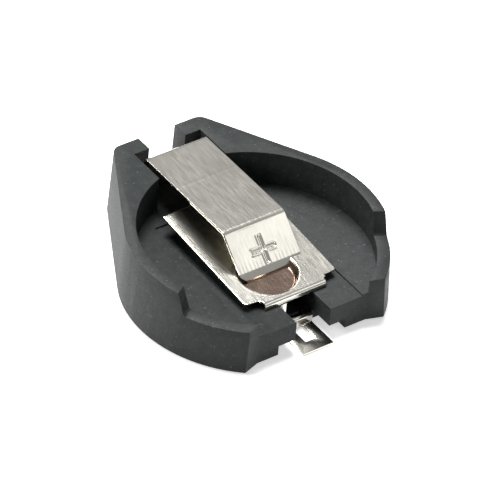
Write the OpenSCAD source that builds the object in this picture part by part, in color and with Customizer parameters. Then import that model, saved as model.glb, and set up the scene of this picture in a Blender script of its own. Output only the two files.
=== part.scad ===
// Surface-mount holder for a coin cell: a moulded housing with a round pocket that is
// open at the front, a positive contact that reaches over the cell from the rear, and
// a negative spring plate on the floor of the pocket. Z = 0 is the board, the Z axis is
// the axis of the cell, and the cell slides in from -Y.

/* [Coin cell] */
// Diameter of the cell
cell_d = 20; // [18:0.1:22]
// Thickness of the cell
cell_t = 3.2; // [2.8:0.1:3.6]

/* [Housing] */
// Radial clearance round the cell
cell_gap = 0.15; // [0.05:0.05:0.3]
// Pocket depth beyond the thickness of the cell
depth_gap = 0.1; // [0:0.05:0.3]
// Thickness of the housing under the cell
floor_t = 2.9; // [2.7:0.05:3.2]
// Thickness of the rim at its top
rim_t = 1.02; // [0.9:0.01:1.3]
// Draft of the outer walls
draft = 2.6; // [1:0.1:4]
// Height of the front part of the rim above the floor
low_rim_h = 1.27; // [1:0.01:1.6]
// Height of the base of the housing above the board
standoff = 0.2; // [0.1:0.01:0.3]
// Depth of the shallow channel under the spring plate
channel_depth = 0.15; // [0.1:0.01:0.3]

/* [Rear block] */
// Distance from the cell's axis to the rear face, at the top
rear_y = 15; // [14.6:0.1:16]
// Angle of the flanks to the Y axis
flank_a = 29; // [27:0.5:31]
// Radius of the rear corners
corner_r = 1.05; // [0.6:0.05:1.4]
// Thickness of the lips behind the positive contact
lip_t = 1.65; // [1.3:0.05:1.8]
// Width of the gap between the lips
lip_gap = 3.7; // [3:0.1:4.4]

/* [Front] */
// Distance from the cell's axis to the front face
front_y = 8.5; // [8:0.1:9]
// Half width of the flat front face
front_x = 5.5; // [5.2:0.05:5.8]
// Angle of the arm ends to the X axis
arm_end_a = 18; // [10:1:25]
// Width of the slot for the negative tail
slot_w = 3.46; // [3.3:0.02:3.8]
// Width of the recesses under the front and the rear
recess_w = 6.8; // [6.4:0.1:7.4]
// Height of those recesses
recess_h = 0.93; // [0.8:0.01:1.1]
// Depth of the front recess, back from the front face
recess_l = 2.4; // [2.2:0.1:3]

/* [Rim step] */
// Angle of the step's edge to the X axis
step_a = 30.5; // [25:0.5:35]
// Distance from the cell's axis back to the step's top edge
step_y = 2.18; // [1.5:0.01:3]
// Slope of the step's face from the vertical
step_lean = 20; // [10:1:28]
// Fillet at the foot of the step
step_r = 0.45; // [0.2:0.05:0.6]

/* [Positive contact] */
// Thickness of the contact sheet
sheet_t = 0.2; // [0.15:0.01:0.25]
// Width of the positive contact
arm_w = 6.2; // [5.6:0.1:6.4]
// Side clearance of the contact in its channel
arm_gap = 0.3; // [0.15:0.05:0.5]
// Distance from the cell's axis to the rear face of the leg
leg_y = 12.36; // [12:0.02:12.6]
// Distance from the cell's axis to the bend at the front of the arm
arm_bend_y = 0.85; // [0:0.05:2]
// Angle of the lead-in face below the horizontal
face_a = 46; // [40:0.5:48]
// Length of the lead-in face along its slope, between its bends
face_l = 3.75; // [3:0.05:3.8]
// Width of the tip below that face
tip_w = 4.2; // [3.4:0.1:4.6]
// Distance down the face to the centre of the plus sign
plus_at = 2.3; // [1.6:0.1:2.4]
// Length of the arms of the embossed plus sign
plus_l = 2.4; // [2:0.1:2.8]
// Width of the stroke of the plus sign
plus_w = 0.34; // [0.2:0.02:0.5]

/* [Negative contact] */
// Width of the spring plate
plate_w = 9.3; // [8.6:0.1:9.6]
// Distance from the cell's axis back to the free end of the plate
plate_rear_y = 7; // [6:0.1:7.6]
// Rise of the plate towards its free end
plate_a = 4.4; // [3:0.1:5]
// Height of the front end of the plate's top over the channel
plate_rise = 0.64; // [0.6:0.01:0.8]
// Width of the bent front edge
flange_w = 6.2; // [5.6:0.1:6.6]
// Distance from the cell's axis to the front face of the bent edge
flange_y = 5.92; // [5.7:0.01:6]
// Radius of the round opening in the plate
opening_r = 2.98; // [2.6:0.02:3]
// Place of the opening's centre
opening_at = [0, -2.2];
// Size of the nub that holds the negative tail
nub_l = 1.1; // [0.8:0.05:1.2]
// Width of the solder tabs
tab_w = 3.08; // [2.6:0.02:3.2]
// Reach of the tabs beyond the front and the rear of the housing
tab_reach = 1.03; // [0.8:0.01:1.5]
// Width of the slot in the tab
tab_slot_w = 0.95; // [0.7:0.05:1.2]
// Length of the slot in the tab
tab_slot_l = 1.9; // [1.5:0.1:2.2]

/* [Hidden] */
$fn = 96;
eps = 0.01;

pocket_r = cell_d / 2 + cell_gap;
pocket_depth = cell_t + depth_gap;
body_h = floor_t + pocket_depth;
rim_r = pocket_r + rim_t;
flare = body_h * tan(draft);
base_r = rim_r + flare;
rear_base_y = rear_y + flare;
corner_base_r = corner_r + flare;
big = 60;
low_rim_z = floor_t + low_rim_h;
channel_z = floor_t - channel_depth;
channel_w = arm_w + 2 * arm_gap;
lip_y = rear_y - lip_t;
recess_y = front_y - recess_l;
shelf_z = recess_h - sheet_t;
plate_bed_w = plate_w + 0.7;
leg_fit = 0.03;

bend_r = 0.3;
arm_bend_r = 0.35;
toe_r = 0.35;
toe_a = 86 - face_a;
toe_l = 0.4;
arm_z = body_h + 0.03;
arm_top_z = standoff + arm_z + sheet_t;
plus_depth = 0.05;
plate_bend_r = 0.2;
notch_y = 5.2;
notch_w = 0.25;
ledge_rear_y = 3;
tail_bend_r = 0.12;
neck_w = 0.6;
nub_y = 5.2;

// Solid on the inner side of a wall that is r from the axis at the base, faces the
// direction a and leans in with the draft.
module wall_side(a, r) {
    rotate([0, 0, a])
        translate([r, 0, 0])
            rotate([0, -draft, 0])
                translate([-big, -big / 2, -big / 2]) cube([big, big, big]);
}

// The block that is moulded round the pocket, with its draft.
module blank() {
    corner_y = rear_base_y - corner_base_r;
    corner_x = (base_r - corner_base_r - sin(flank_a) * corner_y) / cos(flank_a);
    cylinder(h = body_h, r1 = base_r, r2 = rim_r, $fn = 180);
    difference() {
        intersection() {
            linear_extrude(height = body_h)
                polygon([[0, 0], big * [cos(flank_a), sin(flank_a)], [0, big],
                         big * [-cos(flank_a), sin(flank_a)]]);
            wall_side(flank_a, base_r);
            wall_side(180 - flank_a, base_r);
            wall_side(90, rear_base_y);
        }
        for (side = [0, 1])
            mirror([side, 0, 0])
                translate([corner_x, corner_y, 0])
                    difference() {
                        linear_extrude(height = body_h)
                            polygon([[0, 0], 4 * [cos(flank_a), sin(flank_a)], [6, 6], [0, 4]]);
                        cylinder(h = body_h, r1 = corner_base_r, r2 = corner_r);
                    }
    }
}

// Everything ahead of the front face and of the two slanted arm ends.
module front_cut() {
    reach = base_r + 2;
    drop = (reach - front_x) * tan(arm_end_a);
    translate([0, 0, -1])
        linear_extrude(height = body_h + 2)
            polygon([[-front_x, -front_y], [-reach, -front_y - drop], [-reach, -2 * reach],
                     [reach, -2 * reach], [reach, -front_y - drop], [front_x, -front_y]]);
}

// Profile of the space above the low rim: Y to the right, Z up, the step's face on the
// right with a fillet at its foot.
module step_profile() {
    foot = step_y - (body_h - low_rim_z) * tan(step_lean);
    run = step_r * tan((90 - step_lean) / 2);
    polygon([[foot - run, low_rim_z],
             [foot + run * sin(step_lean), low_rim_z + run * cos(step_lean)],
             [step_y + tan(step_lean), body_h + 1],
             [-2 * base_r, body_h + 1], [-2 * base_r, low_rim_z]]);
    translate([foot - run, low_rim_z + step_r]) circle(step_r);
}

module step_cut() {
    rotate([0, 0, -step_a])
        rotate([90, 0, 90])
            linear_extrude(height = base_r + 2) step_profile();
}

module housing() {
    color("dimgray")
        translate([0, 0, standoff]) {
            // nub through the hole in the negative tail
            translate([-nub_l / 2, -nub_y - nub_l / 2, shelf_z - 0.3])
                cube([nub_l, nub_l, sheet_t + 0.42]);
            difference() {
                blank();
                // pocket for the cell
                translate([0, 0, floor_t])
                    cylinder(h = pocket_depth + 1, r = pocket_r, $fn = 180);
                front_cut();
                step_cut();
                mirror([1, 0, 0]) step_cut();
                // shallow channel under the spring plate
                translate([-plate_bed_w / 2, -front_y - 1, channel_z])
                    cube([plate_bed_w, front_y + 1 + plate_rear_y + 0.5, 1]);
                // channel for the arm of the positive contact
                translate([-channel_w / 2, 0, floor_t])
                    cube([channel_w, lip_y, body_h]);
                // gap between the lips
                translate([-lip_gap / 2, lip_y - 1, -1])
                    cube([lip_gap, lip_t + 3, body_h + 2]);
                // narrow slot that holds the leg
                translate([-arm_w / 2 - leg_fit, leg_y - sheet_t, -1])
                    cube([arm_w + 2 * leg_fit, sheet_t, body_h]);
                // recess for the rear tab
                translate([-recess_w / 2, leg_y - sheet_t - leg_fit, -1])
                    cube([recess_w, rear_y, recess_h + 1]);
                // slot for the negative tail, down to its shelf
                translate([-slot_w / 2, -front_y - 1, shelf_z])
                    cube([slot_w, front_y + 1 - ledge_rear_y, body_h]);
                // recess for the front tab
                translate([-recess_w / 2, -front_y - 2, -1])
                    cube([recess_w, recess_l + 2, recess_h + 1]);
            }
        }
}

// One side of the profile of a bent sheet that starts along +X with its axis side on the
// X axis; off is 0 for the axis side and t for the other. Each step is [straight length,
// angle of the bend after it, inside radius]; a positive angle turns up and a negative
// one turns down.
function sheet_side(steps, t, off, i = 0, p = [0, 0], h = 0) =
    i == len(steps) ? [] :
    let (a = steps[i][1],
         r = steps[i][2],
         n = [-sin(h), cos(h)],
         q = p + steps[i][0] * [cos(h), sin(h)],
         c = a > 0 ? q + (t + r) * n : q - r * n,
         rad = a > 0 ? t + r - off : r + off,
         rad0 = a > 0 ? t + r : r,
         s = a > 0 ? h - 90 : h + 90,
         m = ceil(abs(a) / 6))
    concat(i == 0 ? [p + off * n] : [],
           a == 0 ? [q + off * n] :
               [for (k = [0 : m]) c + rad * [cos(s + k * a / m), sin(s + k * a / m)]],
           sheet_side(steps, t, off, i + 1, c + rad0 * [cos(s + a), sin(s + a)], h + a));

module bent_sheet(steps, t) {
    near = sheet_side(steps, t, 0);
    far = sheet_side(steps, t, t);
    polygon(concat(near, [for (k = [len(far) - 1 : -1 : 0]) far[k]]));
}

// Stands a side profile up: its +X points to the front, its +Y up, and its start is at y.
module across(w, y, z = 0) {
    translate([-w / 2, y, z])
        rotate([90, 0, 0]) rotate([0, -90, 0]) mirror([0, 0, 1])
            linear_extrude(height = w) children();
}

module tab_slot(y) {
    translate([0, y, -1])
        linear_extrude(height = 2)
            square([tab_slot_w, tab_slot_l], center = true);
}

// Puts its children on the lead-in face: +Y up the slope, +Z out of the metal, and the
// origin at the top of the face.
module on_face() {
    r = arm_bend_r + sheet_t;
    translate([0, arm_bend_y - r * sin(face_a), arm_top_z - r * (1 - cos(face_a))])
        rotate([face_a, 0, 0]) children();
}

module positive_contact() {
    tab_end = rear_base_y + tab_reach;
    tab_l = tab_end - leg_y - bend_r;
    leg_l = arm_top_z - 2 * (bend_r + sheet_t);
    arm_l = leg_y - sheet_t - bend_r - arm_bend_y;
    color("silver")
        difference() {
            across(arm_w, tab_end)
                bent_sheet([[tab_l, 90, bend_r], [leg_l, -90, bend_r], [arm_l, -face_a, arm_bend_r],
                            [face_l, -toe_a, toe_r], [toe_l, 0, 0]], sheet_t);
            // the leg narrows to the tab
            for (side = [-1, 1])
                translate([side * (arm_w + tab_w) / 4, rear_y, -1])
                    cube([(arm_w - tab_w) / 2 + eps, 2 * rear_y, 2 * (1 + recess_h)], center = true);
            tab_slot(tab_end - 1.2 - tab_slot_l / 2);
            // the tip narrows below the face
            on_face()
                for (side = [0, 1])
                    mirror([side, 0, 0])
                        translate([0, 0, -2])
                            linear_extrude(height = 4)
                                polygon([[arm_w / 2 + eps, -face_l + 0.15], [tip_w / 2, -face_l - 0.5],
                                         [tip_w / 2, -face_l - 2], [arm_w, -face_l - 2],
                                         [arm_w, -face_l + 0.15]]);
            // embossed plus sign
            on_face()
                translate([0, -plus_at, 1 - plus_depth])
                    for (turn = [0, 90])
                        rotate([0, 0, turn]) cube([plus_l, plus_w, 2], center = true);
        }
}

module negative_contact() {
    plate_l = (plate_rear_y + flange_y - plate_bend_r - sheet_t) / cos(plate_a);
    floor_z = standoff + channel_z;
    outer_r = plate_bend_r + sheet_t;
    color("silver") {
        difference() {
            across(plate_w, -flange_y, floor_z)
                rotate(90)
                    bent_sheet([[plate_rise - outer_r, 90 - plate_a, plate_bend_r],
                                [plate_l, 0, 0]], sheet_t);
            translate([opening_at[0], opening_at[1], 0]) cylinder(h = 2 * body_h, r = opening_r);
            // the front edge is narrower than the plate
            for (side = [-1, 1]) {
                translate([side * (flange_w / 2 + 2), -flange_y, floor_z])
                    cube([4, 2 * (flange_y - notch_y), 3], center = true);
                translate([side * (flange_w / 2 + notch_w / 2), -notch_y, floor_z])
                    cube([notch_w, 0.6, 3], center = true);
            }
        }
        // ledge, drop and tab
        difference() {
            across(tab_w, -ledge_rear_y, standoff + shelf_z)
                bent_sheet([[recess_y - ledge_rear_y, -90, tail_bend_r],
                            [standoff + shelf_z - 2 * tail_bend_r - sheet_t, 90, tail_bend_r],
                            [front_y + tab_reach - recess_y - 2 * tail_bend_r - sheet_t, 0, 0]], sheet_t);
            tab_slot(-front_y - tab_reach + 1.2 + tab_slot_l / 2);
            translate([0, -nub_y, 0])
                linear_extrude(height = body_h) square([nub_l, nub_l], center = true);
        }
        // neck from the bent edge down to the ledge
        translate([-tab_w / 2, -flange_y, standoff + shelf_z])
            cube([neck_w, sheet_t, channel_z - shelf_z + 0.1]);
    }
}

housing();
positive_contact();
negative_contact();
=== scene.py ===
import math
import bmesh
import bpy
from mathutils import Matrix, Vector


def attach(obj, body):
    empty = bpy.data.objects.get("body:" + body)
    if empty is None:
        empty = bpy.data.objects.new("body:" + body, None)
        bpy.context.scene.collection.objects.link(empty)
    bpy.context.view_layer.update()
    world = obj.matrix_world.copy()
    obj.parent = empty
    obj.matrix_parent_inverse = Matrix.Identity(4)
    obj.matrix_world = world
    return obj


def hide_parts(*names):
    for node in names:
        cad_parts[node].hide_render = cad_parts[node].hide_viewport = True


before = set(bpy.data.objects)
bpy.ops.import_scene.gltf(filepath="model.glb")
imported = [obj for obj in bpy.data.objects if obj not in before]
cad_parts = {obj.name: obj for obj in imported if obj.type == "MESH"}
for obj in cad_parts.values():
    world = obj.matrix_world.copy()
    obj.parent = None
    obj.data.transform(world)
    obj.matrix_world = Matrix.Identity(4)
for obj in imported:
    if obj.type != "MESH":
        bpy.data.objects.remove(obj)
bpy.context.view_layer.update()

MM = 0.001


# ---------------------------------------------------------------- camera

TURN = math.radians(38.286)         # of the view, from the front towards -X
TILT = math.radians(39.178)         # above the board
ROLL = math.radians(5.037)
DISTANCE = 384.45                   # from the target, in mm
FOCAL = 330.95                      # in mm, on a sensor of 36 mm
AIM = (-0.4753, 0.5555, 3.2)        # target: to the right, up in the view, and above the board


def make_camera():
    """The camera at the photograph's angle, distance and focal length."""
    th, ph, ro = TURN, TILT, ROLL
    c = Vector((-math.sin(th) * math.cos(ph), -math.cos(th) * math.cos(ph), math.sin(ph)))
    r0 = Vector((math.cos(th), -math.sin(th), 0))
    u0 = Vector((math.sin(th) * math.sin(ph), math.cos(th) * math.sin(ph), math.cos(ph)))
    r = math.cos(ro) * r0 + math.sin(ro) * u0
    u = -math.sin(ro) * r0 + math.cos(ro) * u0
    target = AIM[0] * r0 + AIM[1] * u0 + Vector((0, 0, AIM[2]))
    place = (target + DISTANCE * c) * MM
    cam = bpy.data.cameras.new("camera")
    cam.sensor_width = 36
    cam.lens = FOCAL
    cam.clip_start = 0.01
    cam.clip_end = 20
    obj = bpy.data.objects.new("camera", cam)
    bpy.context.scene.collection.objects.link(obj)
    obj.matrix_world = Matrix(((r.x, u.x, c.x, place.x), (r.y, u.y, c.y, place.y),
                               (r.z, u.z, c.z, place.z), (0, 0, 0, 1)))
    bpy.context.scene.camera = obj


make_camera()


# ---------------------------------------------------------------- materials

def new_material(name):
    """A material with its nodes, its links and its shader."""
    mat = bpy.data.materials.new(name)
    mat.use_nodes = True
    nodes = mat.node_tree.nodes
    return mat, nodes, mat.node_tree.links, nodes["Principled BSDF"]


def noise(nodes, links, coord, scale, detail, rough):
    """A noise texture; scale is its number of cells per unit of coord."""
    n = nodes.new("ShaderNodeTexNoise")
    n.inputs["Scale"].default_value = scale
    n.inputs["Detail"].default_value = detail
    n.inputs["Roughness"].default_value = rough
    links.new(coord, n.inputs["Vector"])
    return n


def remap(nodes, links, value, lo, hi, to_lo, to_hi):
    """A value moved from one range to another."""
    m = nodes.new("ShaderNodeMapRange")
    m.inputs["From Min"].default_value = lo
    m.inputs["From Max"].default_value = hi
    m.inputs["To Min"].default_value = to_lo
    m.inputs["To Max"].default_value = to_hi
    links.new(value, m.inputs["Value"])
    return m.outputs["Result"]


def plastic():
    """Near-black moulded plastic with a fine grain and a few pale specks."""
    mat, nodes, links, bsdf = new_material("moulded_plastic")
    coord = nodes.new("ShaderNodeTexCoord").outputs["Object"]
    fine = noise(nodes, links, coord, 7000, 4, 0.6)
    mottle = noise(nodes, links, coord, 1300, 5, 0.65)
    ramp = nodes.new("ShaderNodeValToRGB")
    ramp.color_ramp.elements[0].position = 0.3
    ramp.color_ramp.elements[0].color = (0.010, 0.012, 0.012, 1)
    ramp.color_ramp.elements[1].position = 0.72
    ramp.color_ramp.elements[1].color = (0.022, 0.026, 0.025, 1)
    links.new(mottle.outputs["Fac"], ramp.inputs["Fac"])
    specks = noise(nodes, links, coord, 3600, 2, 0.5)
    fleck = nodes.new("ShaderNodeMix")
    fleck.data_type = "RGBA"
    fleck.inputs["B"].default_value = (0.10, 0.11, 0.105, 1)
    fleck_at = remap(nodes, links, specks.outputs["Fac"], 0.66, 0.76, 0.0, 0.7)
    links.new(fleck_at, fleck.inputs["Factor"])
    links.new(ramp.outputs["Color"], fleck.inputs["A"])
    links.new(fleck.outputs["Result"], bsdf.inputs["Base Color"])
    rough = remap(nodes, links, fine.outputs["Fac"], 0.3, 0.7, 0.46, 0.64)
    links.new(rough, bsdf.inputs["Roughness"])
    bsdf.inputs["Specular IOR Level"].default_value = 0.25
    bump = nodes.new("ShaderNodeBump")
    bump.inputs["Strength"].default_value = 0.6
    bump.inputs["Distance"].default_value = 0.00003
    links.new(fine.outputs["Fac"], bump.inputs["Height"])
    links.new(bump.outputs["Normal"], bsdf.inputs["Normal"])
    return mat


def metal(name, low, high):
    """Plated sheet, clouded between two tones, with a fine grain."""
    mat, nodes, links, bsdf = new_material(name)
    coord = nodes.new("ShaderNodeTexCoord").outputs["Object"]
    bsdf.inputs["Metallic"].default_value = 1.0
    cloud = noise(nodes, links, coord, 400, 3, 0.5)
    ramp = nodes.new("ShaderNodeValToRGB")
    ramp.color_ramp.elements[0].position = 0.3
    ramp.color_ramp.elements[0].color = (*low, 1)
    ramp.color_ramp.elements[1].position = 0.7
    ramp.color_ramp.elements[1].color = (*high, 1)
    links.new(cloud.outputs["Fac"], ramp.inputs["Fac"])
    links.new(ramp.outputs["Color"], bsdf.inputs["Base Color"])
    stretch = nodes.new("ShaderNodeMapping")
    stretch.inputs["Scale"].default_value = (12000, 700, 700)
    links.new(coord, stretch.inputs["Vector"])
    grain = noise(nodes, links, stretch.outputs["Vector"], 1, 4, 0.6)
    rough = remap(nodes, links, grain.outputs["Fac"], 0.3, 0.7, 0.14, 0.24)
    links.new(rough, bsdf.inputs["Roughness"])
    bump = nodes.new("ShaderNodeBump")
    bump.inputs["Strength"].default_value = 0.12
    bump.inputs["Distance"].default_value = 0.000008
    links.new(grain.outputs["Fac"], bump.inputs["Height"])
    links.new(bump.outputs["Normal"], bsdf.inputs["Normal"])
    return mat


MAT_PLASTIC = plastic()
MAT_METAL = metal("plated_sheet", (0.60, 0.58, 0.525), (0.69, 0.67, 0.61))
# Darker, brownish metal for the dish: painted shade and painted reflection of the strip's
# underside, not wear.
MAT_SHADED = metal("plated_sheet_painted_shade", (0.16, 0.115, 0.09), (0.25, 0.18, 0.145))


# ---------------------------------------------------------------- pieces

MERGE = 2e-7                        # corners closer than this are one, in metres
FLAT = math.radians(0.4)            # faces that meet flatter than this are joined
SHARP = math.radians(32)            # edges sharper than this are rounded


def dress(node, mat, width):
    """A copy of a CAD node with its edges rounded, which stands for it."""
    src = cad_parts[node]
    mesh = src.data.copy()
    obj = bpy.data.objects.new(node + "_finished", mesh)
    bpy.context.scene.collection.objects.link(obj)
    obj.matrix_world = src.matrix_world.copy()
    mesh.materials.clear()
    mesh.materials.append(mat)
    bm = bmesh.new()
    bm.from_mesh(mesh)
    bmesh.ops.remove_doubles(bm, verts=bm.verts, dist=MERGE)
    bmesh.ops.dissolve_limit(bm, angle_limit=FLAT, verts=bm.verts, edges=bm.edges)
    for f in bm.faces:
        f.smooth = True
    bm.to_mesh(mesh)
    bm.free()
    mod = obj.modifiers.new("round_edges", "BEVEL")
    mod.width = width
    mod.segments = 3
    mod.limit_method = "ANGLE"
    mod.angle_limit = SHARP
    mod.use_clamp_overlap = True
    mod.harden_normals = True
    mod.miter_outer = "MITER_ARC"
    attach(obj, "root")
    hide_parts(node)
    return obj


housing = dress("housing", MAT_PLASTIC, 0.08 * MM)


def path_points(start, heading, steps, ds=0.07):
    """Points (y, z, ny, nz) along the outer side of a bent sheet, in mm. heading is in
    degrees, 0 towards the front and 90 up; each step is (length, turn down, radius)."""
    y, z, h = start[0], start[1], math.radians(heading)
    out = []
    for length, bend, radius in steps:
        n = max(1, int(length / ds))
        for k in range(n):
            f = k / n * length
            out.append((y - math.cos(h) * f, z + math.sin(h) * f, math.sin(h), math.cos(h)))
        y, z = y - math.cos(h) * length, z + math.sin(h) * length
        if bend:
            m = max(6, int(math.radians(abs(bend)) * radius / ds * 2))
            for k in range(m):
                g = h - math.radians(bend) * k / m
                out.append((y + radius * (math.sin(g) - math.sin(h)),
                            z + radius * (math.cos(g) - math.cos(h)), math.sin(g), math.cos(g)))
            g = h - math.radians(bend)
            y += radius * (math.sin(g) - math.sin(h))
            z += radius * (math.cos(g) - math.cos(h))
            h = g
    out.append((y, z, math.sin(h), math.cos(h)))
    return out


SHEET_T = 0.2                       # thickness of both contacts


def make_sheet(name, pts, half_width, lift, nx, pick=None):
    """A sheet swept along pts, with nx points across. half_width(i, y) is its half width,
    lift(x, y, z, i) moves its surface out, and pick(x, y) chooses a face's material slot."""
    verts, faces = [], []
    for i, (y, z, ny, nz) in enumerate(pts):
        w = half_width(i, y)
        for k in range(nx):
            x = -w + 2 * w * k / (nx - 1)
            d = lift(x, y, z, i)
            verts.append((x * MM, (y + ny * d) * MM, (z + nz * d) * MM))
    for i in range(len(pts) - 1):
        for k in range(nx - 1):
            p = i * nx + k
            faces.append((p, p + nx, p + nx + 1, p + 1))
    mesh = bpy.data.meshes.new(name)
    mesh.from_pydata(verts, [], faces)
    mesh.update()
    obj = bpy.data.objects.new(name, mesh)
    bpy.context.scene.collection.objects.link(obj)
    mesh.materials.append(MAT_METAL)
    # Slot 1 holds the painted shade and reflection used inside the dish.
    mesh.materials.append(MAT_SHADED)
    for poly in mesh.polygons:
        poly.use_smooth = True
        if pick:
            poly.material_index = pick(poly.center.x / MM, poly.center.y / MM)
    thick = obj.modifiers.new("thickness", "SOLIDIFY")
    thick.thickness = SHEET_T * MM
    thick.offset = -1
    thick.use_even_offset = True
    edge = obj.modifiers.new("round_edges", "BEVEL")
    edge.width = 0.02 * MM
    edge.segments = 1
    edge.limit_method = "ANGLE"
    edge.angle_limit = math.radians(55)
    return obj


def smooth(lo, hi, v):
    """0 below lo, 1 above hi and a smooth rise between them."""
    t = min(1.0, max(0.0, (v - lo) / (hi - lo)))
    return t * t * (3 - 2 * t)


# Positive contact: leg, arm, lead-in face with the plus sign, and the bent tip.
STAND = 0.2                         # height of the housing above the board
ARM_TOP = 6.43 + STAND
FACE_A = 44.0                       # slope of the lead-in face, in degrees
LEG_Y = 12.36                       # rear side of the leg
LEG_FOOT = 1.4
REAR_BEND = 0.5
ARM_HALF = 3.1
TIP_TAPER = 0.6                     # how much each side draws in at the tip
TIP_ROWS = 40                       # rows of the mesh that are tested for the taper
arm_path = path_points((LEG_Y, LEG_FOOT), 90, [
    (ARM_TOP - LEG_FOOT - REAR_BEND, 90, REAR_BEND), (10.95, FACE_A, 0.75),
    (3.4, 13, 0.6), (0.5, 27, 0.55), (0.05, 0, 0)])
# The face starts at the first row whose normal has turned past FACE_TURN (cosine).
FACE_TURN = 0.73
face_start = next(i for i, p in enumerate(arm_path) if p[0] < 1.0 and p[3] < FACE_TURN)
face_top = arm_path[face_start]


def arm_half(i, y):
    """Half width of the arm, which draws in over the last part of the sheet."""
    last = len(arm_path) - 1
    if last - i >= TIP_ROWS:
        return ARM_HALF
    run = sum(math.dist(arm_path[j][:2], arm_path[j + 1][:2]) for j in range(i, last))
    return ARM_HALF - TIP_TAPER * (1 - smooth(0.0, 0.75, run))


PLUS_HALF = 1.25                    # half length of the plus sign's bars
PLUS_DEPTH = 0.13
PLUS_RIM = 0.025                    # height of the raised rim beside the groove
PLUS_AT = (-0.05, 2.1)              # its middle: across, and down from the top of the face


def plus_lift(u, v):
    """u across and v along the face from the middle of the plus sign, in mm."""
    def bar(a, b):
        half = PLUS_HALF
        inside = (1 - smooth(0.08, 0.17, abs(b))) * (1 - smooth(half - 0.12, half, abs(a)))
        rim = math.exp(-((abs(b) - 0.27) / 0.09) ** 2)
        return inside, rim * (1 - smooth(half - 0.1, half + 0.15, abs(a)))
    i1, r1 = bar(v, u)
    i2, r2 = bar(u, v)
    inside = max(i1, i2)
    return -PLUS_DEPTH * inside + PLUS_RIM * max(r1, r2) * (1 - inside)


def arm_lift(x, y, z, i):
    """Slow waves and a faint line across the arm; on the face, the plus sign, fine
    forming marks near its foot and a slow wave."""
    if i < face_start:
        wave = 0.003 * math.sin(y * 1.1 + 0.4) * math.sin(x * 0.8 + 1.0)
        return wave + 0.006 * math.exp(-((y - 7.45) / 0.12) ** 2)
    s = math.dist((y, z), face_top[:2])
    d = plus_lift(x - PLUS_AT[0], s - PLUS_AT[1])
    comb = math.sin(x * 17.0 + 0.6 * math.sin(x * 5.0)) * math.exp(-((s - 3.15) / 0.45) ** 2)
    return d + 0.003 * comb + 0.008 * math.sin(x * 1.3 + s * 1.7)


positive = make_sheet("positive_contact_sheet", arm_path, arm_half, arm_lift, 111)
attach(positive, "root")


SLOT_HALF = 0.6 * MM                # the slots' corners lie closer to the middle line
SLOT_FRONT = -6.0 * MM              # and ahead of this, or behind the next one
SLOT_REAR = 13.0 * MM
SLOT_R = 0.30 * MM                  # radius given to those corners


def in_slot(v):
    return abs(v.co.x) < SLOT_HALF and (v.co.y < SLOT_FRONT or v.co.y > SLOT_REAR)


def cut_copy(node, height, name):
    """The part of a CAD node below a height, in mm, with its slot's corners rounded."""
    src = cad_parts[node]
    mesh = src.data.copy()
    obj = bpy.data.objects.new(name, mesh)
    bpy.context.scene.collection.objects.link(obj)
    mesh.materials.clear()
    mesh.materials.append(MAT_METAL)
    bm = bmesh.new()
    bm.from_mesh(mesh)
    bmesh.ops.remove_doubles(bm, verts=bm.verts, dist=MERGE)
    bmesh.ops.bisect_plane(bm, geom=bm.verts[:] + bm.edges[:] + bm.faces[:],
                           plane_co=(0, 0, height * MM), plane_no=(0, 0, 1), clear_outer=True)
    bmesh.ops.holes_fill(bm, edges=[e for e in bm.edges if e.is_boundary], sides=0)
    bmesh.ops.dissolve_limit(bm, angle_limit=FLAT, verts=bm.verts, edges=bm.edges)
    corners = [e for e in bm.edges if all(in_slot(v) for v in e.verts)
               and abs(e.verts[0].co.z - e.verts[1].co.z) > 0.15 * MM]
    bmesh.ops.bevel(bm, geom=corners, offset=SLOT_R, segments=6, affect="EDGES",
                    clamp_overlap=True)
    for f in bm.faces:
        f.smooth = True
    bm.to_mesh(mesh)
    bm.free()
    mod = obj.modifiers.new("round_edges", "BEVEL")
    mod.width = 0.04 * MM
    mod.segments = 2
    mod.limit_method = "ANGLE"
    mod.angle_limit = SHARP
    mod.harden_normals = True
    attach(obj, "root")


cut_copy("positive_contact", 1.5, "positive_rear_tab")
cut_copy("negative_contact", 2.85, "negative_front_tab")
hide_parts("positive_contact")

# Negative contact: spring plate with its round dish and bent front edge.
DISH = (-0.7, -2.7, 2.72)           # x, y and radius
DISH_DEPTH = 0.6
DISH_WALL = 0.4                     # width of the dish's sloping side
PLATE_HALF = 4.65
PLATE_CORNER = 0.4
NOTCH_HALF = 3.35
NOTCH_Y = -5.16                     # the notch lies ahead of this
FLANGE_HALF = 3.1
FLANGE_Y = -5.42                    # and the bent edge ahead of this
plate_path = path_points((7.0, 4.572), -4.4, [(12.57, 85.6, 0.42), (0.22, 0, 0)])


def plate_half(i, y):
    """Half width of the plate: the bent edge, the notch behind it and the round corner."""
    if y < FLANGE_Y:
        return FLANGE_HALF
    if y < NOTCH_Y:
        return NOTCH_HALF
    into = max(0.0, (NOTCH_Y + PLATE_CORNER - y) / PLATE_CORNER)
    return PLATE_HALF - PLATE_CORNER * (1 - math.sqrt(max(0.0, 1 - into ** 2)))


def plate_lift(x, y, z, i):
    """Slow waves on the plate, and the dish with its slightly raised edge."""
    r = math.hypot(x - DISH[0], y - DISH[1])
    wave = 0.003 * math.sin(0.5 * x + 1.2) * math.sin(0.45 * y)
    rim = 0.004 * math.exp(-((r - DISH[2] - 0.08) / 0.1) ** 2)
    return wave - DISH_DEPTH * (1 - smooth(DISH[2] - DISH_WALL, DISH[2], r)) + rim


def plate_pick(x, y):
    """The darker, brownish metal inside the dish: painted shade and painted reflection of the
    strip's underside, which hangs over it.
    """
    return 1 if math.hypot(x - DISH[0], y - DISH[1]) < DISH[2] - 0.03 else 0


negative = make_sheet("negative_contact_plate", plate_path, plate_half, plate_lift, 133,
                      plate_pick)
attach(negative, "root")
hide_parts("negative_contact")


# ---------------------------------------------------------------- stage

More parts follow.
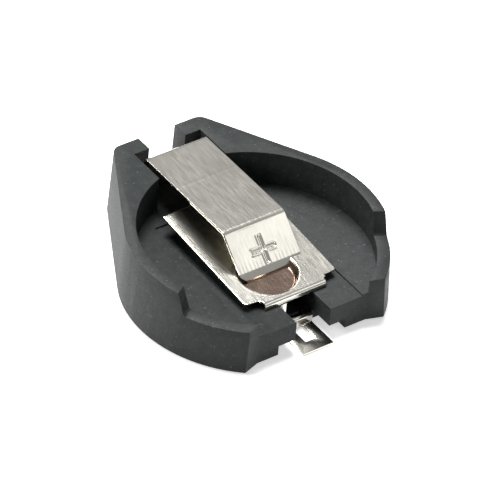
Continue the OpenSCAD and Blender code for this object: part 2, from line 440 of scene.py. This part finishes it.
def make_floor():
    """A white floor that keeps the object's shadow and sends little light back up."""
    bm = bmesh.new()
    bmesh.ops.create_grid(bm, x_segments=8, y_segments=8, size=0.6)
    mesh = bpy.data.meshes.new("floor")
    bm.to_mesh(mesh)
    bm.free()
    obj = bpy.data.objects.new("floor", mesh)
    obj.location = (0, 0, -0.00002)
    bpy.context.scene.collection.objects.link(obj)
    mat, nodes, links, bsdf = new_material("floor_white")
    path = nodes.new("ShaderNodeLightPath")
    seen = nodes.new("ShaderNodeMath")
    seen.operation = "MAXIMUM"
    links.new(path.outputs["Is Camera Ray"], seen.inputs[0])
    links.new(path.outputs["Is Glossy Ray"], seen.inputs[1])
    tone = nodes.new("ShaderNodeMix")
    tone.data_type = "RGBA"
    tone.inputs["A"].default_value = (0.3, 0.3, 0.3, 1)
    tone.inputs["B"].default_value = (0.9, 0.9, 0.9, 1)
    links.new(seen.outputs[0], tone.inputs["Factor"])
    links.new(tone.outputs["Result"], bsdf.inputs["Base Color"])
    glow = nodes.new("ShaderNodeMath")
    glow.operation = "MULTIPLY"
    glow.inputs[1].default_value = 0.55
    links.new(seen.outputs[0], glow.inputs[0])
    bsdf.inputs["Emission Color"].default_value = (1, 1, 1, 1)
    links.new(glow.outputs[0], bsdf.inputs["Emission Strength"])
    bsdf.inputs["Roughness"].default_value = 0.9
    bsdf.inputs["Specular IOR Level"].default_value = 0.0
    mesh.materials.append(mat)


def area_light(name, place, size, power):
    """A square light of a size in metres, which faces the origin."""
    data = bpy.data.lights.new(name, "AREA")
    data.energy = power
    data.size = size
    obj = bpy.data.objects.new(name, data)
    obj.location = place
    obj.rotation_euler = (-Vector(place)).to_track_quat("-Z", "Y").to_euler()
    bpy.context.scene.collection.objects.link(obj)


def make_world():
    """White to the camera, dim to matt surfaces, and mid grey in the metal."""
    world = bpy.data.worlds.new("world")
    bpy.context.scene.world = world
    world.use_nodes = True
    nodes, links = world.node_tree.nodes, world.node_tree.links
    path = nodes.new("ShaderNodeLightPath")
    gloss = nodes.new("ShaderNodeMapRange")
    gloss.inputs["To Min"].default_value = 0.09
    gloss.inputs["To Max"].default_value = 0.42
    links.new(path.outputs["Is Glossy Ray"], gloss.inputs["Value"])
    level = nodes.new("ShaderNodeMath")
    level.operation = "MAXIMUM"
    links.new(gloss.outputs["Result"], level.inputs[0])
    links.new(path.outputs["Is Camera Ray"], level.inputs[1])
    back = nodes["Background"]
    back.inputs["Color"].default_value = (1, 1, 1, 1)
    links.new(level.outputs[0], back.inputs["Strength"])


make_floor()
make_world()
area_light("key_left", (-0.30, 0.12, 0.20), size=0.16, power=1.0)
area_light("key_right", (0.26, -0.22, 0.26), size=0.20, power=0.15)
area_light("top", (0.04, 0.14, 0.38), size=0.20, power=3.0)
bpy.context.scene.view_settings.view_transform = "Standard"
